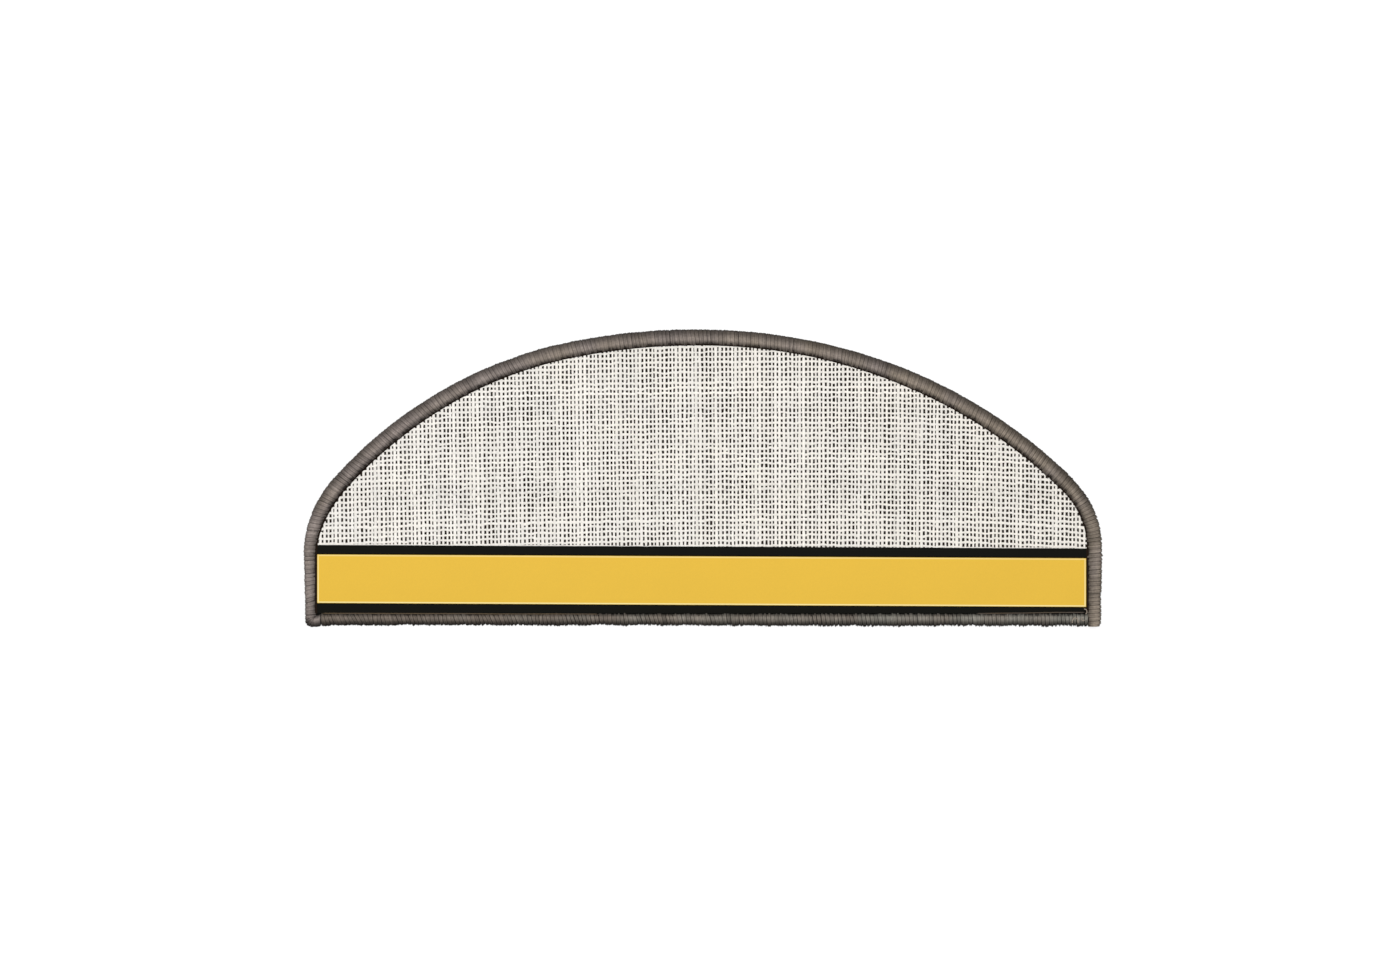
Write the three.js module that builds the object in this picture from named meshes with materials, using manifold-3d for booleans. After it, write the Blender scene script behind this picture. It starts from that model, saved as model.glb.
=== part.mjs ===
// Stair tread mat in millimetres, lying flat, +Z up.
// The straight front edge lies towards -Y and the arched back edge towards +Y.
// A woven face is bonded to a rubber backing, a nosing band with a contrast insert lies along the
// front, and an overcast yarn edge grips the rim of all of them.
import * as THREE from "three";
import ManifoldModule from "manifold-3d";

const kernel = await ManifoldModule();
kernel.setup();
const { Manifold, CrossSection, Mesh: SolidMesh } = kernel;

// Plan of the whole mat, measured over the overcast edge.
const width = 649;
const depth = 242.4;
const frontCornerRadius = 5;
const apexOffset = -4.4;

// Each half of the hand-cut arch is a shoulder, a haunch and a crown arc that meet tangentially.
// Angles are in degrees, from 0 at the straight side to 90 at the top.
const leftHalf = { sideHeight: 58.9, shoulderRadius: 93.6, shoulderEnd: 41.5, haunchEnd: 79.2 };
const rightHalf = { sideHeight: 65.9, shoulderRadius: 77.3, shoulderEnd: 45.3, haunchEnd: 73.2 };

// Levels of the layers, from the floor up.
const backingTop = 2.8;
const backingRimBottom = 1.4;
const pressedWeaveTop = 3.6;
const rimTop = 4.4;
const windowFloor = 3.8;
const yarnTop = 5.4;
const bandMarginTop = 5.6;
const insertTop = 6.0;
const edgeTop = 7.0;
const clearance = 0.3;
const facetTolerance = 0.03;

// Overcast edge: how wide it is on each side, and how far its core reaches in.
const archEdgeWidth = 12.2;
const leftEdgeWidth = 8.8;
const rightEdgeWidth = 10.4;
const frontEdgeWidth = 9.6;
const frontSetback = 0.7;
const leftSeamOffset = 13.5;
const slotInset = 2.6;
const slotBottom = 1.1;
const slotTop = 4.7;
const wrapPitch = 7.4;
const wrapDepth = 0.55;

// Weave: the spacing of the ridges in both directions, and how far the rows bow up.
const warpPitch = 7.8;
const weftPitch = 10.4;
const weftBow = 6;
const weftBowCentre = 25;

// Nosing band and its insert, which were laid slightly out of true.
const bandTopAtCentre = 65;
const insertTopAtCentre = 57.4;
const insertHeight = 39.8;
const insertEndGap = 1.7;
const bandSkew = 0.29;
const insertBevel = 0.4;
const marginBevel = 0.5;

const leftX = -width / 2;
const rightX = width / 2;
const skewSlope = Math.tan(THREE.MathUtils.degToRad(bandSkew));

// The three arcs of one half, for a half whose straight side stands at `span` from the apex.
// The haunch and crown radii are the pair that closes the half on its width and its height.
function archArcs(half, span) {
  const shoulderEnd = THREE.MathUtils.degToRad(half.shoulderEnd);
  const haunchEnd = THREE.MathUtils.degToRad(half.haunchEnd);
  const shoulder = half.shoulderRadius;
  const across = [Math.cos(shoulderEnd) - Math.cos(haunchEnd), Math.cos(haunchEnd)];
  const up = [Math.sin(haunchEnd) - Math.sin(shoulderEnd), 1 - Math.sin(haunchEnd)];
  const restAcross = span - shoulder * (1 - Math.cos(shoulderEnd));
  const restUp = depth - half.sideHeight - shoulder * Math.sin(shoulderEnd);
  const determinant = across[0] * up[1] - across[1] * up[0];
  const haunch = (restAcross * up[1] - across[1] * restUp) / determinant;
  const crown = (across[0] * restUp - restAcross * up[0]) / determinant;
  const arcs = [];
  let from = 0;
  let centre = new THREE.Vector2(span - shoulder, half.sideHeight);
  let radius = shoulder;
  for (const [next, to] of [[shoulder, shoulderEnd], [haunch, haunchEnd], [crown, Math.PI / 2]]) {
    const heading = new THREE.Vector2(Math.cos(from), Math.sin(from));
    centre = centre.clone().addScaledVector(heading, radius - next);
    radius = next;
    arcs.push({ centre, radius, from, to });
    from = to;
  }
  return arcs;
}

// Stations along a straight piece or an arc: a point on the outer edge and its outward normal.
function straight(from, to, normal, pitch) {
  const count = Math.max(1, Math.round(from.distanceTo(to) / pitch(Infinity)));
  return Array.from({ length: count }, (_, i) => ({
    outer: from.clone().lerp(to, i / count),
    normal: normal.clone(),
  }));
}

function arc(centre, radius, from, to, pitch) {
  const count = Math.max(2, Math.round((radius * Math.abs(to - from)) / pitch(radius)));
  return Array.from({ length: count }, (_, i) => {
    const angle = from + ((to - from) * i) / count;
    const normal = new THREE.Vector2(Math.cos(angle), Math.sin(angle));
    return { outer: centre.clone().addScaledVector(normal, radius), normal };
  });
}

// The outer edge from the left side at height `bottom`, over the arch, to the same height at right.
function archPath(bottom, pitch) {
  const left = archArcs(leftHalf, apexOffset - leftX);
  const right = archArcs(rightHalf, rightX - apexOffset);
  const outLeft = new THREE.Vector2(-1, 0);
  const outRight = new THREE.Vector2(1, 0);
  const lowLeft = new THREE.Vector2(leftX, bottom);
  const lowRight = new THREE.Vector2(rightX, bottom);
  return [
    ...straight(lowLeft, new THREE.Vector2(leftX, leftHalf.sideHeight), outLeft, pitch),
    ...left.flatMap(({ centre, radius, from, to }) => {
      const mirrored = new THREE.Vector2(apexOffset - centre.x, centre.y);
      return arc(mirrored, radius, Math.PI - from, Math.PI - to, pitch);
    }),
    ...right.toReversed().flatMap(({ centre, radius, from, to }) => {
      const moved = new THREE.Vector2(apexOffset + centre.x, centre.y);
      return arc(moved, radius, to, from, pitch);
    }),
    ...straight(new THREE.Vector2(rightX, rightHalf.sideHeight), lowRight, outRight, pitch),
    { outer: lowRight, normal: outRight },
  ];
}

// The overcast edge is narrower where it passes over the nosing band at the two sides.
function edgeWidthAt({ normal }) {
  const side = normal.x < 0 ? leftEdgeWidth : rightEdgeWidth;
  return THREE.MathUtils.lerp(side, archEdgeWidth, THREE.MathUtils.smoothstep(normal.y, 0, 0.6));
}

const insetPoint = (station, inset) => station.outer.clone().addScaledVector(station.normal, -inset);

// Plates need only enough stations to hold the curve within a tenth of a millimetre.
const platePitch = (radius) => (Number.isFinite(radius) ? Math.sqrt(radius) : 400);

// A closed outline that keeps an even inset, with its front edge at `front`.
function outline(inset, front) {
  const points = archPath(front, platePitch).map((station) => insetPoint(station, inset));
  return new CrossSection(points.map(({ x, y }) => [x, y]).reverse());
}

// The outline that is left open inside the overcast edge, `gap` away from it.
function fieldOutline(front, gap) {
  const points = archPath(front, platePitch).map((station) =>
    insetPoint(station, edgeWidthAt(station) + gap),
  );
  return new CrossSection(points.map(({ x, y }) => [x, y]).reverse());
}

// Everything below a skewed line that crosses the middle of the mat at height `y`.
function belowLine(y) {
  const reach = width;
  return new CrossSection([
    [-reach, -reach],
    [reach, -reach],
    [reach, y - reach * skewSlope],
    [-reach, y + reach * skewSlope],
  ]);
}

const plate = (section, bottom, top) => section.extrude(top - bottom).translate(0, 0, bottom);

// A loft through rings of equal length, closed by a fan at each end.
function loft(rings) {
  const size = rings[0].length;
  const faces = [];
  for (let ring = 0; ring + 1 < rings.length; ring++) {
    for (let i = 0; i < size; i++) {
      const a = ring * size + i;
      const b = ring * size + ((i + 1) % size);
      faces.push(a, b, a + size, b, b + size, a + size);
    }
  }
  const last = (rings.length - 1) * size;
  for (let i = 1; i + 1 < size; i++) {
    faces.push(0, i + 1, i, last, last + i, last + i + 1);
  }
  return solidFrom(rings.flat(2), faces);
}

function solidFrom(positions, faces) {
  const mesh = new SolidMesh({
    numProp: 3,
    vertProperties: new Float32Array(positions),
    triVerts: new Uint32Array(faces),
  });
  return new Manifold(mesh);
}

// Section of the overcast edge: fraction of its width from the outer edge, height, and how far
// a furrow between two wraps falls inwards and downwards there, in wrap depths.
const edgeSection = [
  { across: 1, height: 0, inward: 0, down: 0 },
  { across: 0.14, height: 0, inward: 0, down: 0 },
  { across: 0, height: 2.6, inward: 1, down: 0 },
  { across: 0.15, height: 5.9, inward: 0.7, down: 0.7 },
  { across: 0.55, height: edgeTop, inward: 0, down: 1 },
  { across: 1, height: 5.3, inward: 0, down: 0 },
];

// Wrapped yarn swept along stations that each give the outer and the inner edge of the wrapping.
function wrappedEdge(stations) {
  const rings = stations.map(({ outer, inner }, index) => {
    const furrow = index % 2 ? wrapDepth : 0;
    const reach = outer.distanceTo(inner);
    return edgeSection.map(({ across, height, inward, down }) => {
      const point = outer.clone().lerp(inner, across + (inward * furrow) / reach);
      return [point.x, point.y, height - down * furrow];
    });
  });
  const slot = plate(outline(slotInset, frontSetback + slotInset), slotBottom, slotTop);
  return loft(rings).subtract(slot).simplify(facetTolerance);
}

// A corner of the run, where every wrap fans out from one point on the inner edge.
function cornerStations(cornerX, side, edgeWidth, seamOffset) {
  const half = wrapPitch / 2;
  const pivot = new THREE.Vector2(cornerX + side * edgeWidth, edgeWidth);
  const at = (x, y) => new THREE.Vector2(cornerX + side * x, y);
  const stations = [];
  for (let x = seamOffset; x > edgeWidth + half / 2; x -= half) {
    stations.push({ outer: at(x, 0), inner: at(x, edgeWidth) });
  }
  const turn = (Math.PI / 2) * frontCornerRadius;
  const flat = edgeWidth - frontCornerRadius;
  const count = Math.round((2 * flat + turn) / half);
  for (let i = 0; i < count; i++) {
    const along = ((2 * flat + turn) * i) / count;
    const angle = THREE.MathUtils.clamp((along - flat) / frontCornerRadius, 0, Math.PI / 2);
    const x = frontCornerRadius * (1 - Math.sin(angle)) + Math.max(0, flat - along);
    const y = frontCornerRadius * (1 - Math.cos(angle)) + Math.max(0, along - flat - turn);
    stations.push({ outer: at(x, y), inner: pivot });
  }
  return stations;
}

function archRun() {
  const wrap = () => wrapPitch / 2;
  const left = cornerStations(leftX, 1, leftEdgeWidth, leftSeamOffset);
  const right = cornerStations(rightX, -1, rightEdgeWidth, rightEdgeWidth);
  const arch = archPath(leftEdgeWidth, wrap).map((station) => ({
    outer: station.outer,
    inner: insetPoint(station, edgeWidthAt(station)),
  }));
  const upTo = (station) => station.outer.x < 0 || station.outer.y > rightEdgeWidth + wrap() / 2;
  const lowRight = {
    outer: new THREE.Vector2(rightX, rightEdgeWidth),
    inner: new THREE.Vector2(rightX - rightEdgeWidth, rightEdgeWidth),
  };
  return wrappedEdge([...left, ...arch.filter(upTo), lowRight, ...right.toReversed()]);
}

function frontRun() {
  const start = leftX + leftSeamOffset + clearance;
  const end = rightX - rightEdgeWidth - clearance;
  const count = 2 * Math.round((end - start) / wrapPitch);
  const stations = Array.from({ length: count + 1 }, (_, i) => {
    const x = THREE.MathUtils.lerp(end, start, i / count);
    return {
      outer: new THREE.Vector2(x, frontSetback),
      inner: new THREE.Vector2(x, frontSetback + frontEdgeWidth),
    };
  });
  return wrappedEdge(stations);
}

const rimOutline = () => outline(slotInset + clearance, frontSetback + slotInset + clearance);
const fieldFront = frontSetback + frontEdgeWidth + clearance;

function rubberBacking() {
  const rim = plate(rimOutline(), backingRimBottom, backingTop);
  return rim.add(plate(fieldOutline(fieldFront, clearance), 0, backingTop));
}

// Warp and weft ridges cross at the corners of each cell, and a window sinks between them.
function weaveRelief(bottom) {
  const columns = Math.ceil(width / warpPitch);
  const rows = Math.ceil((depth + weftBow) / weftPitch);
  const bowAt = (x) => weftBow * (1 - ((x - weftBowCentre) / (width / 2)) ** 2);
  const positions = [];
  const faces = [];
  const add = (column, row, z) => {
    const x = (column - columns / 2) * warpPitch;
    positions.push(x, row * weftPitch + bowAt(x), z);
    return positions.length / 3 - 1;
  };
  const grid = (z) =>
    Array.from({ length: rows + 1 }, (_, row) =>
      Array.from({ length: columns + 1 }, (_, column) => add(column, row, z)),
    );
  const crossing = grid(yarnTop);
  const under = grid(bottom);
  for (let row = 0; row < rows; row++) {
    for (let column = 0; column < columns; column++) {
      const [a, b] = crossing[row].slice(column, column + 2);
      const [d, c] = crossing[row + 1].slice(column, column + 2);
      const window = add(column + 0.5, row + 0.5, windowFloor);
      faces.push(a, b, window, b, c, window, c, d, window, d, a, window);
      const [e, f] = under[row].slice(column, column + 2);
      const [h, g] = under[row + 1].slice(column, column + 2);
      faces.push(e, g, f, e, h, g);
    }
  }
  const wall = (p, q, pUnder, qUnder) => faces.push(p, pUnder, q, q, pUnder, qUnder);
  for (let column = 0; column < columns; column++) {
    const [low, lowUnder, high, highUnder] = [crossing[0], under[0], crossing[rows], under[rows]];
    wall(low[column], low[column + 1], lowUnder[column], lowUnder[column + 1]);
    wall(high[column + 1], high[column], highUnder[column + 1], highUnder[column]);
  }
  for (let row = 0; row < rows; row++) {
    const [near, far] = [crossing[row], crossing[row + 1]];
    const [nearUnder, farUnder] = [under[row], under[row + 1]];
    wall(far[0], near[0], farUnder[0], nearUnder[0]);
    wall(near[columns], far[columns], nearUnder[columns], farUnder[columns]);
  }
  return solidFrom(positions, faces);
}

// The rim is pressed flatter than the open field, and all of it lies flat under the nosing band.
function wovenFace() {
  const bandArea = belowLine(bandTopAtCentre + clearance);
  const pressed = plate(rimOutline(), backingTop, pressedWeaveTop);
  const rim = plate(rimOutline().subtract(bandArea), backingTop, rimTop);
  const inside = plate(fieldOutline(fieldFront, 2 * clearance), windowFloor - clearance, edgeTop);
  const open = plate(fieldOutline(fieldFront, clearance).subtract(bandArea), backingTop, edgeTop);
  const field = weaveRelief(backingTop).intersect(open);
  return pressed.add(rim.subtract(inside)).add(field).simplify(facetTolerance);
}

// A bar with its upper edges bevelled, between two skewed lines across the mat.
function skewedBar(area, lower, upper, bottom, top, bevel) {
  const strip = (inset) =>
    area.offset(-inset, "Miter").intersect(belowLine(upper - inset)).subtract(belowLine(lower + inset));
  const body = plate(strip(0), bottom, top - bevel);
  const crest = [
    ...strip(0).toPolygons()[0].map(([x, y]) => [x, y, top - bevel]),
    ...strip(bevel).toPolygons()[0].map(([x, y]) => [x, y, top]),
  ];
  return body.add(Manifold.hull(crest));
}

const insertBottomAtCentre = insertTopAtCentre - insertHeight;

function nosingBand() {
  const flange = plate(rimOutline().intersect(belowLine(bandTopAtCentre)), pressedWeaveTop, rimTop);
  const field = fieldOutline(fieldFront, clearance);
  const upper = skewedBar(
    field,
    insertTopAtCentre + clearance,
    bandTopAtCentre,
    pressedWeaveTop,
    bandMarginTop,
    marginBevel,
  );
  const lower = skewedBar(
    field,
    -width,
    insertBottomAtCentre - clearance,
    pressedWeaveTop,
    bandMarginTop,
    marginBevel,
  );
  return flange.add(upper).add(lower);
}

function contrastInsert() {
  const field = fieldOutline(fieldFront, insertEndGap);
  return skewedBar(field, insertBottomAtCentre, insertTopAtCentre, rimTop, insertTop, insertBevel);
}

function addNode(group, name, solid, color, roughness) {
  const { vertProperties, triVerts } = solid.getMesh();
  const geometry = new THREE.BufferGeometry();
  geometry.setAttribute("position", new THREE.BufferAttribute(vertProperties, 3));
  geometry.setIndex(new THREE.BufferAttribute(triVerts, 1));
  geometry.computeVertexNormals();
  const material = new THREE.MeshStandardMaterial({ color, roughness, flatShading: true });
  const mesh = new THREE.Mesh(geometry, material);
  mesh.name = name;
  group.add(mesh);
}

// The origin lies on the floor below the middle of the mat.
const mat = new THREE.Group();
mat.name = "stair_tread_mat";
mat.position.y = -depth / 2;
addNode(mat, "rubber_backing", rubberBacking(), "#3a3936", 0.9);
addNode(mat, "woven_face", wovenFace(), "#d8d3ca", 0.95);
addNode(mat, "nosing_band", nosingBand(), "#1b1b19", 0.7);
addNode(mat, "contrast_insert", contrastInsert(), "#e9be49", 0.6);
addNode(mat, "overcast_arch_run", archRun(), "#6f665e", 0.9);
addNode(mat, "overcast_front_run", frontRun(), "#6a625a", 0.9);
export default mat;
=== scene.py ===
# %% [markdown]
# # A stair tread mat, dressed on its fixed frame
# The mat lies flat on one stair tread. An open weave of off-white yarn is bonded to rubber, a black
# band with a yellow insert lies along the straight front edge, and a taupe yarn is overcast round the
# whole rim. The solids come packed, in metres, with +Z up and the arch towards +Y. This lesson gives
# them their look: real yarns for the weave, real wraps for the edge, and a finish for the rubber.

# %% Load the fixed frame
import math

import bmesh
import bpy
import numpy as np
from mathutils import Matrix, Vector


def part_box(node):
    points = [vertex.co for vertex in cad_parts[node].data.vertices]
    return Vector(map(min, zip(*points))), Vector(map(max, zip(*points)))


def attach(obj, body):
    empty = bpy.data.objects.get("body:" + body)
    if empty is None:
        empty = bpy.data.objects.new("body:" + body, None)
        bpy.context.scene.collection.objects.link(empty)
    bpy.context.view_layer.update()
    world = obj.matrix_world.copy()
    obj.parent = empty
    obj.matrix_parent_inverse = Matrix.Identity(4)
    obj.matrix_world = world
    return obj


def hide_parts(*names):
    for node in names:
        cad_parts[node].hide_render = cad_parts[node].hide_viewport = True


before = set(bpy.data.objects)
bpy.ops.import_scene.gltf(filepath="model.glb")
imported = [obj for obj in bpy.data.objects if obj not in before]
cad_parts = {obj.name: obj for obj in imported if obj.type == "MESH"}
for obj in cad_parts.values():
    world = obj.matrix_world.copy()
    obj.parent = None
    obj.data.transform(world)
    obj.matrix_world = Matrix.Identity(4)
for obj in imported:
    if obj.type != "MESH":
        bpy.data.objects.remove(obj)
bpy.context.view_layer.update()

MM = 0.001
print("nodes:", ", ".join(sorted(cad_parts)))

# %% [markdown]
# ## The plan of the mat
# Every piece here follows the same outline, so it comes first. Each half of the arch is cut by hand
# as a shoulder, a haunch and a crown that meet without a kink. Three tangent arcs with fixed angles
# leave two radii open, and the width and the height of the half settle those. The overcast edge is
# pulled tight by hand, so it isn't equally wide everywhere: a table gives how much wider it is where
# the rim faces a certain way, with the heading of its outward normal in degrees.

# %% Sizes of the plan, in millimetres
WIDTH, DEPTH = 649.0, 242.4
LEFT_X, RIGHT_X = -WIDTH / 2, WIDTH / 2
APEX_X = -4.4
LEFT_HALF = {"side": 58.9, "shoulder": 93.6, "shoulder_end": 41.5, "haunch_end": 79.2}
RIGHT_HALF = {"side": 65.9, "shoulder": 77.3, "shoulder_end": 45.3, "haunch_end": 73.2}
ARCH_EDGE, LEFT_EDGE, RIGHT_EDGE, FRONT_EDGE = 12.2, 9.4, 10.7, 9.9
FRONT_SETBACK = 0.7
WIDER_BY = {
    0: 0, 31: -0.1, 55: 0.6, 67: 0.8, 79: 0.1, 90: 0.5,
    113: 0.5, 128: 1.1, 154: 0.6, 170: 0.2, 180: 0,
}
CORNER_RADIUS = 5.0
LEFT_SEAM = 13.5
BAND_TOP, BAND_SLOPE = 65.0, math.tan(math.radians(0.29))
INSERT_TOP, INSERT_HEIGHT = 57.4, 39.8
print(f"plan {WIDTH} x {DEPTH} mm")


# %% The arcs of one half
def arch_arcs(half, span):
    """Centre, radius and both angles of the three arcs, counted from the side up to the apex."""
    shoulder_end, haunch_end = math.radians(half["shoulder_end"]), math.radians(half["haunch_end"])
    across = [math.cos(shoulder_end) - math.cos(haunch_end), math.cos(haunch_end)]
    up = [math.sin(haunch_end) - math.sin(shoulder_end), 1 - math.sin(haunch_end)]
    rest = [
        span - half["shoulder"] * (1 - math.cos(shoulder_end)),
        DEPTH - half["side"] - half["shoulder"] * math.sin(shoulder_end),
    ]
    haunch, crown = np.linalg.solve([across, up], rest)
    arcs, start, radius = [], 0.0, half["shoulder"]
    centre = np.array([span - radius, half["side"]])
    for next_radius, end in [(radius, shoulder_end), (haunch, haunch_end), (crown, math.pi / 2)]:
        centre = centre + (radius - next_radius) * np.array([math.cos(start), math.sin(start)])
        radius = next_radius
        arcs.append((centre, radius, start, end))
        start = end
    return arcs


for name, half, span in [("left", LEFT_HALF, APEX_X - LEFT_X), ("right", RIGHT_HALF, RIGHT_X - APEX_X)]:
    print(name, "radii", [round(float(radius)) for _, radius, _, _ in arch_arcs(half, span)])


# %% Walk the arch from the left side to the right
STEP = 0.5


def walk_arch(low_left, low_right, step=STEP):
    """Points on the outer edge and their outward normals, in plan."""
    points, normals = [], []

    def line(x, start, end, normal):
        for y in np.arange(start, end, math.copysign(step, end - start)):
            points.append((x, y))
            normals.append(normal)

    def turn(centre, radius, start, end):
        count = max(2, round(radius * abs(end - start) / step))
        for angle in np.linspace(start, end, count, endpoint=False):
            normal = (math.cos(angle), math.sin(angle))
            points.append((centre[0] + radius * normal[0], centre[1] + radius * normal[1]))
            normals.append(normal)

    line(LEFT_X, low_left, LEFT_HALF["side"], (-1, 0))
    for centre, radius, start, end in arch_arcs(LEFT_HALF, APEX_X - LEFT_X):
        turn((APEX_X - centre[0], centre[1]), radius, math.pi - start, math.pi - end)
    for centre, radius, start, end in reversed(arch_arcs(RIGHT_HALF, RIGHT_X - APEX_X)):
        turn((APEX_X + centre[0], centre[1]), radius, end, start)
    line(RIGHT_X, RIGHT_HALF["side"], low_right, (1, 0))
    return np.array(points), np.array(normals)


# %% How wide the overcast edge is
FULL_RISE = 0.6


def eased(low, high, share):
    """From low to high as share goes from 0 to 1, with a gentle start and end."""
    return low + (high - low) * share * share * (3 - 2 * share)


def edge_width(normals):
    """Narrower at the two sides, where it passes over the nosing band, and a little uneven elsewhere."""
    side = np.where(normals[:, 0] < 0, LEFT_EDGE, RIGHT_EDGE)
    rise = np.clip(normals[:, 1] / FULL_RISE, 0, 1)
    heading = np.degrees(np.arctan2(normals[:, 1], normals[:, 0])).clip(0, 180)
    uneven = np.interp(heading, list(WIDER_BY), list(WIDER_BY.values()))
    return eased(side, ARCH_EDGE, rise) + uneven


arch_points, arch_normals = walk_arch(0, 0)
inner_edge = arch_points - arch_normals * edge_width(arch_normals)[:, None]
print("arch walked in", len(arch_points), "steps")


# %% Where the cloth's yarns end
BEAD_GAP, BAND_GAP = 0.6, 0.1
cloth_edge = inner_edge - arch_normals * BEAD_GAP
apex_row = int(np.argmax(cloth_edge[:, 1]))


def far_edge(x):
    """How far back the yarns reach at x."""
    return np.interp(x, cloth_edge[:, 0], cloth_edge[:, 1])


def side_edges(y):
    """The left and right ends of the yarns at y."""
    left, right = cloth_edge[: apex_row + 1], cloth_edge[apex_row:][::-1]
    return np.interp(y, left[:, 1], left[:, 0]), np.interp(y, right[:, 1], right[:, 0])


def near_edge(x):
    """Where the yarns start at x, just behind the nosing band."""
    return BAND_TOP + BAND_GAP - BAND_SLOPE * x


print("cloth from", np.round(side_edges(100.0), 1), "at y = 100, up to", round(float(far_edge(0)), 1))

# %% [markdown]
# ## How the yarns are made
# A yarn is a closed tube. The quickest honest way to one is a flat grid that is rolled up: its columns
# go round the yarn and its rows go along it, and the seam is welded afterwards. The same helper makes
# the weave and the overcast edge. A tone for every yarn is kept with its points, for the material.


# %% Roll a grid into a tube
WELD = 1e-7


def to_frame(places):
    """Plan millimetres to the frame's metres: the frame's origin lies under the middle of the mat."""
    return (np.asarray(places, float) - [0, DEPTH / 2, 0]) * MM


def rolled_grid(bm, places, tones):
    """places[ring, side] are the tube's points in millimetres, tones[ring, side] how light each is."""
    rings, sides = places.shape[:2]
    tone_layer = bm.verts.layers.float["tone"]
    spots = to_frame(places)
    tones = np.broadcast_to(tones, (rings, sides))
    grid = bmesh.ops.create_grid(bm, x_segments=sides, y_segments=rings - 1, size=1)
    for vert in grid["verts"]:
        ring = round((vert.co.y + 1) / 2 * (rings - 1))
        side = round((vert.co.x + 1) / 2 * sides) % sides
        vert[tone_layer] = tones[ring, side]
        vert.co = spots[ring, side]


def new_tubes():
    bm = bmesh.new()
    bm.verts.layers.float.new("tone")
    return bm


def finish_mesh(bm, name, smooth=True):
    """Welds seams, points every face outwards and hands back an object at the origin."""
    bmesh.ops.remove_doubles(bm, verts=bm.verts, dist=WELD)
    bmesh.ops.dissolve_degenerate(bm, edges=bm.edges, dist=WELD)
    bmesh.ops.recalc_face_normals(bm, faces=bm.faces)
    mesh = bpy.data.meshes.new(name)
    bm.to_mesh(mesh)
    bm.free()
    mesh.shade_smooth() if smooth else mesh.shade_flat()
    piece = bpy.data.objects.new(name, mesh)
    bpy.context.scene.collection.objects.link(piece)
    mesh.calc_loop_triangles()
    print(name, "has", len(mesh.loop_triangles), "triangles")
    return piece


# %% A yarn along a line
YARN_SIDES = 6
ROUND = np.linspace(0, 2 * math.pi, YARN_SIDES, endpoint=False) + math.pi / 2
UPWARDS = np.array([0, 0, 1.0])[None, None, :] * np.sin(ROUND)[None, :, None]


def lay_yarn(bm, centres, across, half_width, half_height, tone):
    """centres run along the yarn, across is its sideways direction, and both ends are pinched."""
    centres = np.asarray(centres, float)
    size = np.ones(len(centres))
    size[[0, -1]] = 0
    sideways = np.asarray(across, float)[None, None, :] * np.cos(ROUND)[None, :, None]
    wide = (half_width * size)[:, None, None]
    high = (half_height * size)[:, None, None]
    rolled_grid(bm, centres[:, None, :] + sideways * wide + UPWARDS * high, tone)


print("a yarn has", YARN_SIDES, "sides")

# %% [markdown]
# ## The weave
# It is a plain weave: a warp yarn passes over one weft yarn and under the next, and its neighbours do
# the opposite. The yarns are thinner than their spacing, so a window stays open in every cell and the
# dark ground shows. The loom sets the warps in groups of five, twice of six, in which the windows get
# narrower and then wider again. The cloth was pulled when it was bonded, so the weft rows bow and the
# warps in the left half lean over to the left. Short tables along the mat describe that.

# %% Spacing of the yarns, in millimetres
WARP_START = -327.1
WARP_STEPS = [3.51, 3.30, 3.10, 2.90, 3.30]
WARP_WINDOWS = [1.36, 1.50, 1.24, 0.93, 1.18]
SIXTH_YARNS = [46, 122]
WINDOW_AT = [LEFT_X, -80, 0, 110, RIGHT_X]
WINDOW_SHARE = [0.89, 0.83, 0.86, 0.96, 1.11]
WEFT_START, WEFT_STEP, WEFT_WINDOW = 53.6, 4.15, 2.12
BOW = [-1.72, -3.59, -5.48, 3.69, -0.17]
DRIFT_AT = [-240, -190, -140, -92, -43, 6, 55, 104, 153, 201, 250]
DRIFT = [-0.9, -0.8, -0.73, -0.57, -0.45, -0.25, -0.33, -0.41, -0.65, -1.1, -0.8]
LEAN = [0.0116, 0.0114, 0.011, 0.0104, 0.0082, 0.0055, 0.0025, -0.0005, -0.0025, -0.0035, -0.004]
LEAN_PIVOT = 133
WEAVE_MIDDLE, WEAVE_SWING = 4.5, 0.34
YARN_HALF_HEIGHT = 0.4
SHORTEST_YARN, PINCHED_END, END_MARGIN, SIDE_MARGIN = 3, 0.2, 0.5, 0.6
print("a group of warps is", round(sum(WARP_STEPS), 2), "mm wide")

# %% How uneven the yarns are
PATCHY, WARP_UNEVEN, WEFT_UNEVEN = 0.07, 0.11, 0.13
WARP_WANDER, WEFT_WANDER, TONE_SPREAD = 0.1, 0.27, 0.04
WARP_WINDOW_SPREAD, WEFT_WINDOW_SPREAD = 0.11, 0.08
dice = np.random.default_rng(7)


def wander(count, size, reach=9):
    """Random values, averaged over a few neighbours, so a yarn drifts and doesn't jump."""
    loose = dice.standard_normal(count + reach)
    return size * np.convolve(loose, np.ones(reach) / math.sqrt(reach), "valid")[:count]


def bow(x):
    """How much higher a weft row lies at x than in the middle; it sags steeply near the right end."""
    return np.polyval(BOW, x / RIGHT_X)


def lean(x, y):
    """How far a warp yarn stands off its own line at y: those in the left half lean over to the left."""
    return np.interp(x, DRIFT_AT, DRIFT) + np.interp(x, DRIFT_AT, LEAN) * (LEAN_PIVOT - y)


def thickness(x, y):
    """How much the yarns swell or shrink from patch to patch: two waves, each bent by the other."""
    return PATCHY * np.sin(x / 13 + 1.5 * np.sin(y / 19)) * np.sin(y / 11 + 1.2 * np.sin(x / 31))


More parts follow.
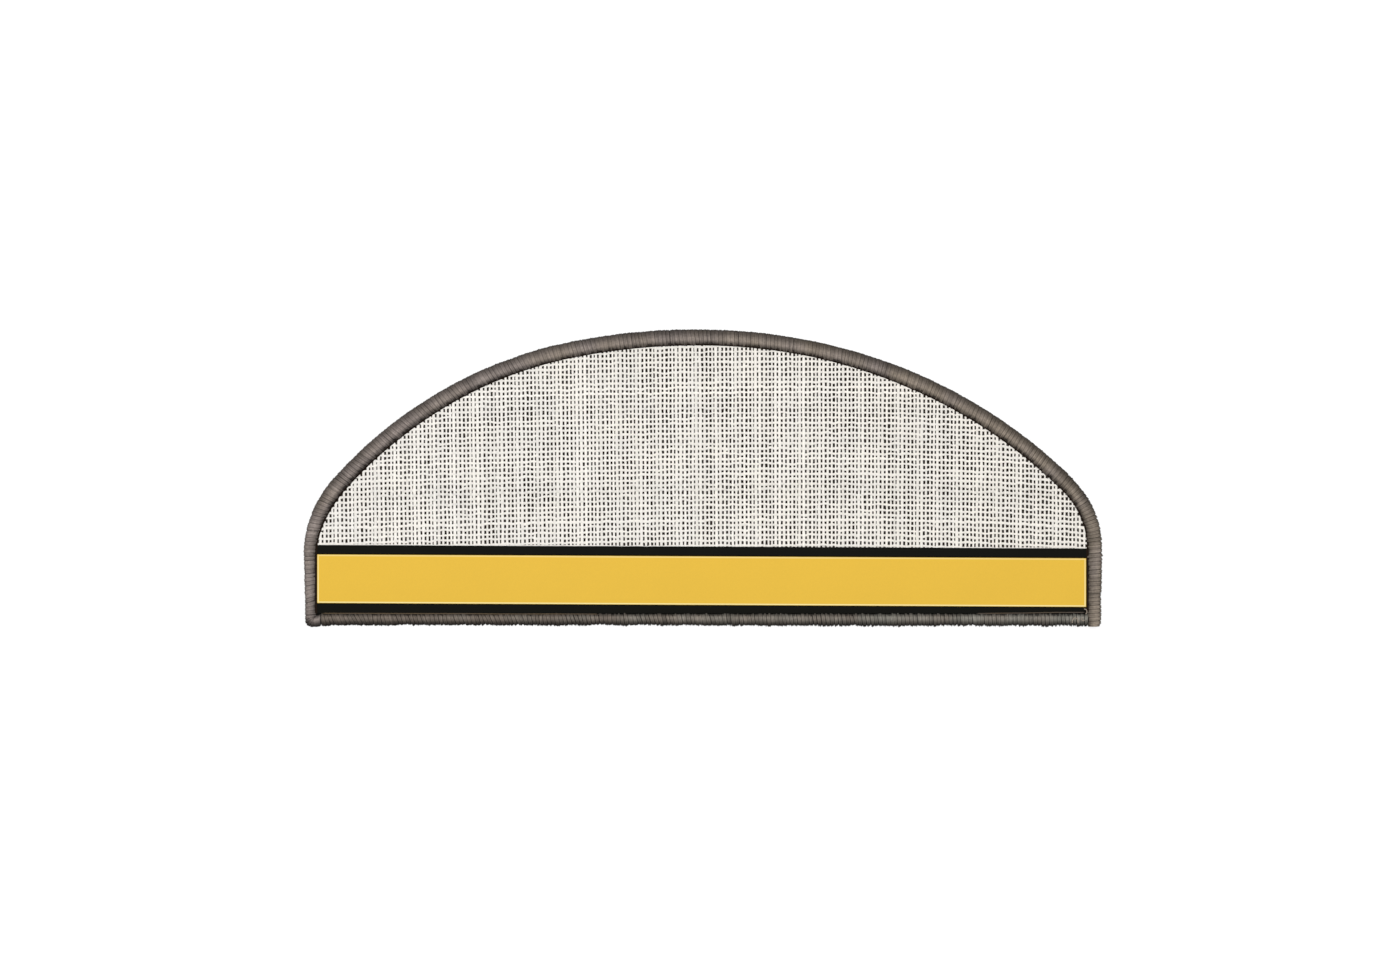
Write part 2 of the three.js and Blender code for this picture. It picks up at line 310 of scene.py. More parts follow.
# %% Place the yarns
columns = math.ceil(WIDTH / np.mean(WARP_STEPS))
in_group = np.arange(columns) - np.searchsorted(SIXTH_YARNS, np.arange(columns), side="right")
warp_step = np.take(WARP_STEPS, in_group, mode="wrap")
warp_x = WARP_START + np.cumsum(warp_step)
warp_window = np.take(WARP_WINDOWS, in_group, mode="wrap") * np.interp(warp_x, WINDOW_AT, WINDOW_SHARE)
warp_window = (warp_window * (1 + wander(columns, WARP_WINDOW_SPREAD, 2))).clip(0.6, 2.0)
weft_y = np.arange(WEFT_START, DEPTH, WEFT_STEP)
weft_window = WEFT_WINDOW * (1 + wander(len(weft_y), WEFT_WINDOW_SPREAD, 2))
print(columns, "warp positions,", len(weft_y), "weft rows")

# %% [markdown]
# Every yarn gets one ring where it crosses another and one halfway between two crossings. Its width
# changes a little from ring to ring, so no two windows are alike, as in cloth from uneven yarn.


# %% Lay the warp yarns
def warp_yarn(bm, column):
    """One warp yarn, from the nosing band to the overcast edge."""
    x = warp_x[column]
    near, far = near_edge(x), far_edge(x)
    far = far_edge(x + lean(x, far))
    if far - near < SHORTEST_YARN:
        return
    rows = np.arange(2 * len(weft_y))
    y = WEFT_STEP / 2 * rows + weft_y[0] + bow(x)
    swing = np.where(rows % 2, 0, WEAVE_SWING * np.where((rows // 2 + column) % 2, 1, -1))
    shown = (y > near + END_MARGIN) & (y < far - END_MARGIN)
    y, swing = y[shown], swing[shown]
    y = np.concatenate([[near, near + PINCHED_END], y, [far - PINCHED_END, far]])
    swing = np.concatenate([[swing[0]] * 2, swing, [swing[-1]] * 2])
    line = np.stack([x + lean(x, y) + wander(len(y), WARP_WANDER, 5), y, WEAVE_MIDDLE + swing], axis=1)
    half = (np.roll(warp_step, -1)[column] - warp_window[column]) / 2
    half = half * (1 + WARP_UNEVEN * dice.standard_normal(len(y)) + thickness(x, y)).clip(0.6, 1.6)
    tone = 1 + TONE_SPREAD * dice.standard_normal()
    lay_yarn(bm, line, (1, 0, 0), half.clip(0.5, 1.45), YARN_HALF_HEIGHT, tone)


bm = new_tubes()
for column in range(columns):
    warp_yarn(bm, column)
warp_yarns = finish_mesh(bm, "warp_yarns")


# %% Lay the weft yarns
THINNEST_WEFT, FEWEST_RINGS = 0.6, 4


def weft_yarn(bm, row):
    """One weft yarn; where the band or the edge covers a part of its width, it is that much narrower."""
    count = 2 * columns - 1
    middles = (warp_x[:-1] + warp_x[1:]) / 2
    x = np.empty(count)
    x[::2], x[1::2] = warp_x, middles
    column = np.arange(count) // 2
    swing = np.where(np.arange(count) % 2, 0, WEAVE_SWING * np.where((row + column) % 2, -1, 1))
    y = weft_y[row] + bow(x) + wander(count, WEFT_WANDER, 3)
    x = x + lean(x, y)
    uneven = 1 + WEFT_UNEVEN * dice.standard_normal(count) + thickness(x, y)
    half = (WEFT_STEP - weft_window[row]) / 2 * uneven
    low, high = np.maximum(y - half, near_edge(x)), np.minimum(y + half, far_edge(x))
    left, right = side_edges((low + high) / 2)
    inside = (x > left + SIDE_MARGIN) & (x < right - SIDE_MARGIN)
    shown = np.flatnonzero((high - low > THINNEST_WEFT) & inside)
    if len(shown) < FEWEST_RINGS:
        return
    stretch = slice(shown[0], shown[-1] + 1)
    line = np.stack([x, (low + high) / 2, WEAVE_MIDDLE + swing], axis=1)[stretch]
    half = ((high - low) / 2).clip(THINNEST_WEFT / 2)[stretch]
    ends = np.array([[left[shown[0]], *line[0, 1:]], [right[shown[-1]], *line[-1, 1:]]])
    pinch = [PINCHED_END, 0, 0]
    line = np.vstack([ends[0], ends[0] + pinch, line, ends[1] - pinch, ends[1]])
    half = np.concatenate([[half[0]] * 2, half, [half[-1]] * 2])
    lay_yarn(bm, line, (0, 1, 0), half, YARN_HALF_HEIGHT, 1 + TONE_SPREAD * dice.standard_normal())


bm = new_tubes()
for row in range(len(weft_y)):
    weft_yarn(bm, row)
weft_yarns = finish_mesh(bm, "weft_yarns")

# %% [markdown]
# ## The ground under the weave
# Between the yarns one looks down on the coat that bonds the cloth to the rubber. It is a thin sheet
# that fills the whole rim, so it starts as one flat face of the outline and is extruded downwards.

# %% Bond coat
RIM_INSET = 2.9
GROUND_TOP, GROUND_BOTTOM = 3.58, 2.82
rim_front = FRONT_SETBACK + RIM_INSET
rim_points, rim_normals = walk_arch(rim_front, rim_front, step=2.0)
rim_line = rim_points - rim_normals * RIM_INSET
rim_line = np.vstack([rim_line, [RIGHT_X - RIM_INSET, rim_front]])

bm = bmesh.new()
for place in to_frame([(x, y, GROUND_TOP) for x, y in rim_line]):
    bm.verts.new(place)
rim_face = bmesh.ops.contextual_create(bm, geom=bm.verts)["faces"]
ground_area = sum(face.calc_area() for face in rim_face)
thick = bmesh.ops.extrude_face_region(bm, geom=rim_face, use_keep_orig=True)["geom"]
sunk = [part for part in thick if isinstance(part, bmesh.types.BMVert)]
bmesh.ops.translate(bm, verts=sunk, vec=(0, 0, (GROUND_BOTTOM - GROUND_TOP) * MM))
bond_coat = finish_mesh(bm, "bond_coat", smooth=False)
print(f"bond coat of {ground_area:.4f} square metres")

# %% [markdown]
# A narrow dark strip runs inside the overcast edge: painted shadow, standing for the shade under the
# edge's inner rim that makes the dark line setting the edge off. It also covers the cut ends of the yarns
# and the two ends of the insert. A grid rolled into a flat tube follows the arch, and steps up where it
# passes from the cloth onto the band.


# %% Painted shadow strip along the arch, in millimetres
TUCKED_UNDER = 0.25
STRIP_LOW, STRIP_HIGH = 5.5, 6.08
LOWER_ON_CLOTH = (1.9, 0.78)
SHOWS_ON_CLOTH, SHOWS_MORE_AT_SIDES = 0.75, 0.35
SHOWS_ON_BAND = {"left": 1.5, "right": 1.6}
RAMP_START, RAMP_LENGTH = 0.5, 1.5


def strip_along(points, normals, near, far, low, high):
    """A flat closed strip between two distances inwards from the outer edge and two levels."""
    corners = [
        np.column_stack([points - normals * inward[:, None], level])
        for inward, level in [(near, low), (far, low), (far, high), (near, high)]
    ]
    return np.stack(corners, axis=1)


strip_points, strip_normals = walk_arch(FRONT_SETBACK + FRONT_EDGE, FRONT_SETBACK + FRONT_EDGE, step=1.5)
strip_width = edge_width(strip_normals)
past_band = strip_points[:, 1] - near_edge(strip_points[:, 0])
on_cloth = np.clip((past_band + RAMP_START) / RAMP_LENGTH, 0, 1)
steep = np.abs(strip_normals[:, 0]) ** 3
shows_on_band = np.where(strip_normals[:, 0] < 0, SHOWS_ON_BAND["left"], SHOWS_ON_BAND["right"])
shows_on_cloth = SHOWS_ON_CLOTH + SHOWS_MORE_AT_SIDES * steep
bm = new_tubes()
strip_places = strip_along(
    strip_points,
    strip_normals,
    near=strip_width - TUCKED_UNDER,
    far=strip_width + on_cloth * shows_on_cloth + (1 - on_cloth) * shows_on_band,
    low=STRIP_LOW - LOWER_ON_CLOTH[0] * on_cloth,
    high=STRIP_HIGH - LOWER_ON_CLOTH[1] * on_cloth,
)
rolled_grid(bm, strip_places, 1.0)
bmesh.ops.holes_fill(bm, edges=[edge for edge in bm.edges if edge.is_boundary])
painted_shadow_strip = finish_mesh(bm, "painted_shadow_strip", smooth=False)

# %% [markdown]
# ## The overcast edge
# One yarn is wrapped round the rim again and again, so close that its wraps touch. From a step away it
# is a bead with fine furrows, and at the inner edge every stitch ends a little sooner or later. A long
# grid is swept along the rim with four rings for a wrap, and each ring sinks by how deep it lies in
# the furrow. The wraps vary in width, height and tone, which also keeps them from looking printed.

# %% The edge's section, in shares of its width and millimetres of height
EDGE_SECTION = [
    # across, height, share of the furrow, painted light and shade over the arch and the front, painted
    # light and shade at the sides
    (1.0, 0.0, 0.0, 0.45, 0.45),
    (0.5, 0.0, 0.0, 0.45, 0.45),
    (0.1, 0.1, 0.3, 0.45, 0.5),
    (0.02, 0.9, 1.1, 0.4, 0.45),
    (0.0, 2.0, 1.3, 0.27, 0.5),
    (0.05, 3.4, 1.3, 0.27, 0.7),
    (0.14, 4.7, 1.15, 0.34, 0.92),
    (0.27, 5.75, 1.0, 0.47, 1.05),
    (0.41, 6.5, 1.0, 0.7, 1.05),
    (0.55, 6.93, 1.0, 0.96, 0.94),
    (0.69, 6.97, 1.0, 1.02, 0.78),
    (0.83, 6.5, 1.0, 0.61, 0.62),
    (0.93, 5.7, 1.0, 0.32, 0.5),
    (1.0, 4.9, 0.8, 0.16, 0.35),
    (0.97, 4.72, 0.0, 0.4, 0.4),
    (0.24, 4.72, 0.0, 0.4, 0.4),
    (0.24, 1.08, 0.0, 0.4, 0.4),
    (0.97, 1.08, 0.0, 0.4, 0.4),
]
SLOT_CORNERS, SLOT_MIDDLE, TYPICAL_EDGE = 4, 2.9, 11
section = np.array(EDGE_SECTION)
before, after = np.roll(section, 1, axis=0), np.roll(section, -1, axis=0)
facing = np.stack([-(after - before)[:, 1], (after - before)[:, 0] * TYPICAL_EDGE], axis=1)
facing /= np.linalg.norm(facing, axis=1)[:, None]
in_slot = np.arange(len(section)) >= len(section) - SLOT_CORNERS
print("the section has", len(section), "corners,", in_slot.sum(), "of them in the slot")


# %% Stretches of the rim
def fan_corner(corner_x, width):
    """Outer points from the front edge round the left corner to the side, all fanned from one pivot."""
    flat = width - CORNER_RADIUS
    bend = CORNER_RADIUS * math.pi / 2
    outer = []
    for along in np.arange(0, 2 * flat + bend, STEP):
        angle = min(max((along - flat) / CORNER_RADIUS, 0), math.pi / 2)
        x = CORNER_RADIUS * (1 - math.sin(angle)) + max(0, flat - along)
        y = CORNER_RADIUS * (1 - math.cos(angle)) + max(0, along - flat - bend)
        outer.append((corner_x + x, y))
    return np.array(outer), np.tile([corner_x + width, width], (len(outer), 1))


def straight_stretch(start, end, inward):
    """Outer and inner points along a straight stretch of the rim."""
    start, end = np.array(start, float), np.array(end, float)
    count = max(2, round(np.linalg.norm(end - start) / STEP))
    outer = start + (end - start) * np.linspace(0, 1, count, endpoint=False)[:, None]
    return outer, outer + np.array(inward, float)


def joined(*stretches):
    """One line of outer and inner points, with the length run so far."""
    outer = np.vstack([outer for outer, _ in stretches])
    inner = np.vstack([inner for _, inner in stretches])
    run = np.concatenate([[0], np.cumsum(np.linalg.norm(np.diff(outer, axis=0), axis=1))])
    return run, outer, inner


print("a corner turns in", len(fan_corner(0, LEFT_EDGE)[0]), "steps of", STEP, "mm")

# %% [markdown]
# The run over the arch starts at a seam in the front, fans round the left corner, climbs over the arch
# and ends in a rounded tip at the right corner. The tight thread pulls the rim a little out of its
# outline: the left side is drawn in above its corner and bulges further up, the right side bulges, and
# both haunches and the apex are flatter. Powers of the outward normal limit each of these to its own
# part of the rim.

# %% The run over the arch: seam and body
DRAWN_IN, CORNER_EDGE = 0.8, LEFT_EDGE - 0.8
SIDE_HEIGHT, TIP_LENGTH = 60, 4.0
LEFT_SLOPE, LEFT_START, RIGHT_BULGE = 2, 1.4, 0.75
FLATTER_LEFT, FLATTER_RIGHT, FLATTER_APEX = 1.4, 0.8, 0.25
corner_x = LEFT_X + DRAWN_IN
seam_outer, seam_inner = straight_stretch(
    (LEFT_X + LEFT_SEAM, 0), (LEFT_X + LEFT_EDGE, 0), (0, CORNER_EDGE)
)
to_seam = np.linspace(1, 0, len(seam_outer)) ** 2
seam_outer[:, 1] += FRONT_SETBACK * to_seam
seam_inner[:, 1] += (FRONT_SETBACK + FRONT_EDGE - CORNER_EDGE) * to_seam
low_points, low_normals = walk_arch(CORNER_EDGE, TIP_LENGTH)
low_inner = low_points - low_normals * edge_width(low_normals)[:, None]
on_left = low_normals[:, 0] < 0
side_height = np.clip(low_points[:, 1] / SIDE_HEIGHT, 0, 1)
left_bulge = np.maximum(LEFT_SLOPE * side_height - LEFT_START, -DRAWN_IN)
bulge = np.where(on_left, left_bulge, RIGHT_BULGE * side_height)
flatter = np.where(on_left, FLATTER_LEFT, FLATTER_RIGHT) * (low_normals[:, 0] * low_normals[:, 1]) ** 2
bulge = bulge * low_normals[:, 0] ** 10 - FLATTER_APEX * low_normals[:, 1] ** 4 - flatter
low_points += low_normals * bulge[:, None]
print(f"the rim moves by {bulge.min():.1f} to {bulge.max():.1f} mm")

# %% The tip at the right corner, and both runs joined
TIP_OUTSET, TIP_NARROWS, TIP_TURNS_IN = 0.05, 0.8, 0.15
FRONT_WAVE_AT, FRONT_WAVE = [-311, -285, -80, 45], [0.1, 0.4, 0.45, -0.17]
RIGHT_JOINT, LEFT_JOINT = 0.3, 0.1
tip = np.linspace(0, 1, 9)[:, None]
tip_y = TIP_LENGTH - TIP_LENGTH * tip
tip_round = TIP_LENGTH * (1 - np.sqrt(1 - tip**2))
tip_outer = np.hstack([RIGHT_X + TIP_OUTSET - tip_round * TIP_NARROWS, tip_y])
tip_inner = np.hstack([RIGHT_X - RIGHT_EDGE + tip_round * TIP_TURNS_IN, tip_y])
arch_line = joined(
    (seam_outer, seam_inner),
    fan_corner(corner_x, CORNER_EDGE),
    (low_points, low_inner),
    (tip_outer, tip_inner),
)
front_outer, front_inner = straight_stretch(
    (RIGHT_X - RIGHT_EDGE - RIGHT_JOINT, FRONT_SETBACK),
    (LEFT_X + LEFT_SEAM + LEFT_JOINT, FRONT_SETBACK),
    (0, FRONT_EDGE),
)
front_outer[:, 1] += np.interp(front_outer[:, 0], FRONT_WAVE_AT, FRONT_WAVE)
front_line = joined((front_outer, front_inner))
print(f"arch run {arch_line[0][-1]:.0f} mm, front run {front_line[0][-1]:.0f} mm")


# %% [markdown]
# The strands lie in pairs: the furrow between two pairs is deep, and the one inside a pair is half as
# deep. A table gives how deep each of the eight rings of a pair lies. Every strand also leans, because
# the needle moves on between its entry and its exit. The tones follow the light on the bead: the flank
# at the front and on the right turns away, and the one on the left haunch catches it.

# %% Light on the bead
HAUNCH_GLOW, HAUNCH_TURNS, RIGHT_SHADE, RIGHT_REACH = 1.6, 0.6, 0.3, 0.16


def bead_light(light, across, outwards, inner_light, shade, shade_reach):
    """Painted light and shade at every point: across is 0 at the outer edge, outwards is the rim's plan
    direction.
    """
    to_x, to_y = np.moveaxis(outwards, -1, 0)
    left_haunch = np.clip(-to_x * to_y, 0, 1)
    light = light * (1 + inner_light * (across - 0.5))
    light = light * (1 + HAUNCH_GLOW * left_haunch * (HAUNCH_TURNS - across))
    light = light * (1 - shade * np.clip(-to_y, 0, 1) * np.clip(1 - across / shade_reach, 0, 1))
    return light * (1 - RIGHT_SHADE * np.clip(to_x, 0, 1) ** 4 * np.clip(1 - across / RIGHT_REACH, 0, 1))


def along_line(at, run, line):
    """Places on an outer or inner line, found by the length run so far."""
    return np.stack([np.interp(at, run, line[:, axis]) for axis in (0, 1)], axis=-1)


print(f"the left haunch is up to {HAUNCH_GLOW * HAUNCH_TURNS / 2:.2f} lighter at its outer edge")

# %% How uneven the strands are
STRAND_PITCH, FURROW = 1.63, 0.44
PAIR_SHAPE = np.array([1.0, 0.5, 0.05, 0.05, 0.55, 0.05, 0.05, 0.5])
PITCH_SPREAD, PLUMP_SPREAD, SINK_SPREAD, RAGGED_SPREAD = 0.11, 0.12, 0.26, 0.055
PLUMP_WANDER, SLANT_WANDER, STRAND_TONE, STRAND_TONE_WANDER = 0.1, 0.4, 0.08, 0.06


def strand_values(length, slant, plain):
    """Start, plumpness, sink, ragged end, slant and tone of every strand on a run."""
    count = 2 * round(length / STRAND_PITCH / 2)
    pitches = 1 + PITCH_SPREAD * dice.standard_normal(count).clip(-2, 2)
    starts = np.concatenate([[0], np.cumsum(pitches)]) * length / pitches.sum()
    plump = PLUMP_SPREAD * dice.standard_normal(count) + wander(count, PLUMP_WANDER, 7)
    sink = np.repeat((1 + SINK_SPREAD * dice.standard_normal(count // 2)).clip(0.15, 1.7), 2)
    ragged = RAGGED_SPREAD * dice.standard_normal(count).clip(-1.5, 1.5)
    slanting = np.linspace(*slant, count) * (1 + wander(count, SLANT_WANDER, 10))
    uneven = 1 + STRAND_TONE * dice.standard_normal(count) + wander(count, STRAND_TONE_WANDER, 6)
    tone = np.linspace(*plain, count) * uneven.clip(0.6, 1.5)
    return starts, plump, sink, ragged, slanting, tone


print("one strand every", STRAND_PITCH, "mm")


# %% Wrap the yarn round the rim
RIM_SHARE, INNER_SHARE = 0.2, 0.85
SLANT_EASES, SLOT_SHUTS, SLOT_SLIT = 3, 0.4, 0.02
PALE_SHALLOWER, PALE_LOWER, PALE_LIGHTER, DARKEST = 0.7, 0.12, 0.3, 0.12


def wrap_run(name, line, slant, plain, rims, shaded, gap, inner_light=0.0, pale_end=0.0, closed_end=0.0):
    """A swept bead of strands in pairs.

    slant: how far the strands lean, in millimetres, at the start and the end of the run
    plain: how light they are there; gap: painted shade, how much darker a furrow is
    rims: how rough the outer edge is, at even steps along the run
    shaded: shade on the flank that faces the front, at both ends of the run, and how far it reaches
    inner_light: extra light towards the inner edge
    pale_end, closed_end: length of the paler, smoother end and of the end whose slot is shut
    """
    run, outer, inner = line
    starts, plump, sink, ragged, slanting, tone = strand_values(run[-1], slant, plain)
    count = len(tone)
    ring = np.arange(4 * count + 1)
    strand, quarter = np.minimum(ring // 4, count - 1), ring % 4
    spot = (starts[strand] + np.diff(starts)[strand] * quarter / 4)[:, None]
    spot[-1] = run[-1]
    to_end = np.minimum(spot, run[-1] - spot)
    paleness = np.clip(1 - (run[-1] - spot) / pale_end, 0, 1) if pale_end else 0 * spot
    depth = (sink[strand] * PAIR_SHAPE[ring % 8])[:, None] * (1 - PALE_SHALLOWER * paleness)

    across, height, show, light_arch, light_side = section.T
    rim = np.interp(np.linspace(0, 1, count), np.linspace(0, 1, len(rims)), rims)
    show = show * np.where(across < RIM_SHARE, rim[strand, None], 1)
    swell = (plump[strand, None] - FURROW * (depth - PAIR_SHAPE.mean())) * show
    leant = slanting[strand, None] * (across - 0.5) * np.clip(to_end / SLANT_EASES, 0, 1)
    at = np.clip(spot + leant, 0, run[-1])
    outer_at, inner_at = along_line(at, run, outer), along_line(at, run, inner)
    width = np.linalg.norm(inner_at - outer_at, axis=-1)

    ends_at = ragged[strand, None] * (across > INNER_SHARE) * (show > 0)
    shift = across + ends_at + swell * facing[:, 0] / width
    high = (height + swell * facing[:, 1]) * (1 - PALE_LOWER * paleness)
    shut = np.clip((closed_end - (run[-1] - spot)) / SLOT_SHUTS, 0, 1) * in_slot
    high = high + (SLOT_MIDDLE + SLOT_SLIT * np.sign(height - SLOT_MIDDLE) - high) * shut
    plan = outer_at + (inner_at - outer_at) * shift[..., None]
    places = np.concatenate([plan, np.maximum(high, 0)[..., None]], axis=-1)

    rise = np.clip(np.abs(inner_at - outer_at)[..., 1] / width / FULL_RISE, 0, 1)
    outwards = (outer_at - inner_at) / width[..., None]
    shade = np.linspace(*shaded[:2], count)[strand, None]
    # painted light and shade on the bead's flanks, from the section and from the way the rim faces
    light = eased(light_side, light_arch, rise)
    light = bead_light(light, across, outwards, inner_light, shade, shaded[2])
    # painted shade in the furrows between strands, darker where a furrow lies deeper
    dark = (1 - gap * depth * show).clip(DARKEST)
    tones = tone[strand, None] * light * dark * (1 + PALE_LIGHTER * paleness)

    bm = new_tubes()
    rolled_grid(bm, places, tones)
    bmesh.ops.remove_doubles(bm, verts=bm.verts, dist=WELD)
    bmesh.ops.holes_fill(bm, edges=[edge for edge in bm.edges if edge.is_boundary])
    return finish_mesh(bm, name)


# %% Both runs of the edge
overcast_arch = wrap_run(
    "overcast_arch",
    arch_line,
    slant=(1.9, 0.7),
    plain=(0.96, 0.96),
    rims=(0.9, 0.6, 0.7, 0.5, 0.5, 1.4),
    shaded=(0.75, 0.75, 0.7),
    gap=0.48,
    pale_end=5.0,
    closed_end=3.4,
)
overcast_front = wrap_run(
    "overcast_front",
    front_line,
    slant=(0.3, 3.2),
    plain=(0.84, 0.68),
    rims=(2.2, 1.3),
    shaded=(0.35, 0.65, 0.4),
    gap=0.68,
    inner_light=0.4,
)

# %% [markdown]
# ## Loose ends of the overcasting
# Where the sewing started, the needle's thread lies on the black band beside the front run, and near
# the right corner a few stitches stand up as small loops. They are yarns along short curved lines.


# %% Thread and loops
SMOOTHED = 3


def curved_yarn(bm, points, half, tone, rings=24):
    """A round yarn through a few points: the line between them is smoothed into a curve."""
    points = np.array(points, float)
    knots = np.linspace(0, 1, len(points))
    fine = np.linspace(0, 1, rings)
    smooth = np.stack([np.interp(fine, knots, points[:, axis]) for axis in range(3)], axis=1)
    for _ in range(SMOOTHED):
        smooth[1:-1] = (smooth[:-2] + 2 * smooth[1:-1] + smooth[2:]) / 4
    heading = np.gradient(smooth, axis=0)
    side = np.stack([-heading[:, 1], heading[:, 0], np.zeros(rings)], axis=1)
    side /= np.linalg.norm(side, axis=1)[:, None] + 1e-9
    size = np.ones(rings)
    size[[0, -1]] = 0
    sideways = side[:, None, :] * np.cos(ROUND)[None, :, None]
    places = smooth[:, None, :] + (sideways + UPWARDS) * (half * size)[:, None, None]
    rolled_grid(bm, places, tone)


THREAD_KNOTS, THREAD_WANDER = 12, 0.1
bm = new_tubes()
for start, end, half, tone, rings in [
    ((-310.5, 11.1, 5.95), (-84.0, 10.2, 6.0), 0.45, 0.38, 70),
    ((222.0, 10.9, 5.95), (312.0, 11.7, 5.95), 0.5, 0.32, 30),
]:
    line = np.linspace(start, end, THREAD_KNOTS)
    line[:, 1] += wander(THREAD_KNOTS, THREAD_WANDER, 3)
    curved_yarn(bm, line, half, tone, rings)
seam_thread = finish_mesh(bm, "seam_thread")

bm = new_tubes()
for half, tone, points in [
    (
        0.42,
        1.15,
        [(300.6, 2.6, 6.6), (300.9, 6.0, 7.2), (303.1, 7.6, 7.2), (305.2, 6.0, 7.2), (305.4, 2.8, 6.6)],
    ),
    (0.36, 1.1, [(309.2, 7.8, 6.6), (308.0, 6.2, 7.2), (309.0, 4.8, 7.2), (310.8, 5.4, 7.0)]),
    (0.4, 1.1, [(310.2, 14.6, 6.0), (312.4, 13.8, 6.3), (312.8, 11.6, 6.3), (311.4, 10.2, 6.3)]),
]:
    curved_yarn(bm, points, half, tone)
loose_loops = finish_mesh(bm, "loose_loops")

# %% [markdown]
# ## Finishes
# All colours are written as they look, as sRGB values, and turned into the linear numbers that shaders
# use. Two effects serve several materials, so each is a node group: the fuzz and the plies of spun
# yarn, and the fine grain of moulded rubber and vinyl. The yarn's colour also drifts from one end of the
# mat to the other, and is multiplied by the tone that every yarn and strand carries in its points; on
# the overcast edge that tone also holds painted light and shade.


# %% Colour and node helpers
def srgb(red, green, blue):
    """A colour as seen, 0 to 255, as linear light."""
    def one(value):
        value /= 255
        return value / 12.92 if value <= 0.04045 else ((value + 0.055) / 1.055) ** 2.4
    return (one(red), one(green), one(blue), 1.0)


def add(tree, kind, **settings):
    """Adds a node; inputs are given by name with underscores for spaces."""
    node = tree.nodes.new(kind)
    for key, value in settings.items():
        if hasattr(node, key):
            setattr(node, key, value)
        else:
            node.inputs[key.replace("_", " ")].default_value = value
    return node


def maths(tree, operation, *values, clamp=False):
    """One sum; each value is a socket or a number."""
    node = tree.nodes.new("ShaderNodeMath")
    node.operation, node.use_clamp = operation, clamp
    for socket, value in zip(node.inputs, values):
        if isinstance(value, (int, float)):
            socket.default_value = value
        else:
            tree.links.new(value, socket)
    return node.outputs[0]


def tinted(tree, colour, value):
    """A colour times a value that stays near one."""
    node = tree.nodes.new("ShaderNodeMix")
    node.data_type, node.blend_type = "RGBA", "MULTIPLY"
    node.inputs["Factor"].default_value = 1
    for socket, source in ((node.inputs[6], colour), (node.inputs[7], value)):
        if isinstance(source, tuple):
            socket.default_value = source
        else:
            tree.links.new(source, socket)
    return node.outputs[2]


def new_group(name, inputs, outputs):
    """An empty node group with its sockets."""
    group = bpy.data.node_groups.new(name, "ShaderNodeTree")
    for label, kind, value in inputs:
        socket = group.interface.new_socket(name=label, in_out="INPUT", socket_type=kind)
        socket.default_value = value
    for label, kind in outputs:
        group.interface.new_socket(name=label, in_out="OUTPUT", socket_type=kind)
    return group, group.nodes.new("NodeGroupInput"), group.nodes.new("NodeGroupOutput")


YELLOW = (231, 188, 69)
print("yellow as linear light:", [round(value, 3) for value in srgb(*YELLOW)[:3]])

# %% Group: spun yarn
COLOUR, FLOAT, VECTOR = "NodeSocketColor", "NodeSocketFloat", "NodeSocketVector"
spun_yarn, entry, result = new_group(
    "spun yarn",
    [
        ("Colour", COLOUR, (0.8, 0.8, 0.8, 1)),
        ("Far colour", COLOUR, (0.8, 0.8, 0.8, 1)),
        ("Fibre depth", FLOAT, 0.0002),
        ("Ply", FLOAT, 0.0),
    ],
    [("Colour", COLOUR), ("Roughness", FLOAT), ("Normal", VECTOR)],
)
place = add(spun_yarn, "ShaderNodeTexCoord")
fibre = add(spun_yarn, "ShaderNodeTexNoise", Scale=2600, Detail=3, Roughness=0.6)
patch = add(spun_yarn, "ShaderNodeTexNoise", Scale=38, Detail=2, Roughness=0.5)
plies = add(spun_yarn, "ShaderNodeTexNoise", Scale=620, Detail=2, Roughness=0.6)
# the tone attribute: random tone of each yarn, and on the overcast edge also painted light and shade
tone = add(spun_yarn, "ShaderNodeAttribute", attribute_name="tone")
for noise in (fibre, patch, plies):
    spun_yarn.links.new(place.outputs["Object"], noise.inputs["Vector"])
split = add(spun_yarn, "ShaderNodeSeparateXYZ")
spun_yarn.links.new(place.outputs["Object"], split.inputs[0])
along = add(spun_yarn, "ShaderNodeMapRange", From_Min=LEFT_X * MM, From_Max=RIGHT_X * MM)
spun_yarn.links.new(split.outputs["X"], along.inputs["Value"])
swing = maths(spun_yarn, "MULTIPLY", maths(spun_yarn, "SUBTRACT", patch.outputs["Fac"], 0.5), 2.5)
share = maths(spun_yarn, "ADD", along.outputs["Result"], swing, clamp=True)
drift = add(spun_yarn, "ShaderNodeMix", data_type="RGBA")
spun_yarn.links.new(share, drift.inputs["Factor"])
spun_yarn.links.new(entry.outputs["Colour"], drift.inputs[6])
spun_yarn.links.new(entry.outputs["Far colour"], drift.inputs[7])
fibre_part = maths(spun_yarn, "MULTIPLY_ADD", fibre.outputs["Fac"], 0.24, 0.82)
patch_part = maths(spun_yarn, "MULTIPLY", patch.outputs["Fac"], 0.12)
ply_part = maths(spun_yarn, "SUBTRACT", plies.outputs["Fac"], 0.5)
ply_part = maths(spun_yarn, "MULTIPLY", ply_part, entry.outputs["Ply"])
grain_sum = maths(spun_yarn, "ADD", maths(spun_yarn, "ADD", fibre_part, patch_part), ply_part)
shade = maths(spun_yarn, "MULTIPLY", grain_sum, tone.outputs["Fac"])
spun_yarn.links.new(tinted(spun_yarn, drift.outputs[2], shade), result.inputs["Colour"])
rough = maths(spun_yarn, "MULTIPLY_ADD", fibre.outputs["Fac"], 0.2, 0.72)
spun_yarn.links.new(rough, result.inputs["Roughness"])
fuzz = add(spun_yarn, "ShaderNodeBump", Strength=0.6)
spun_yarn.links.new(entry.outputs["Fibre depth"], fuzz.inputs["Distance"])
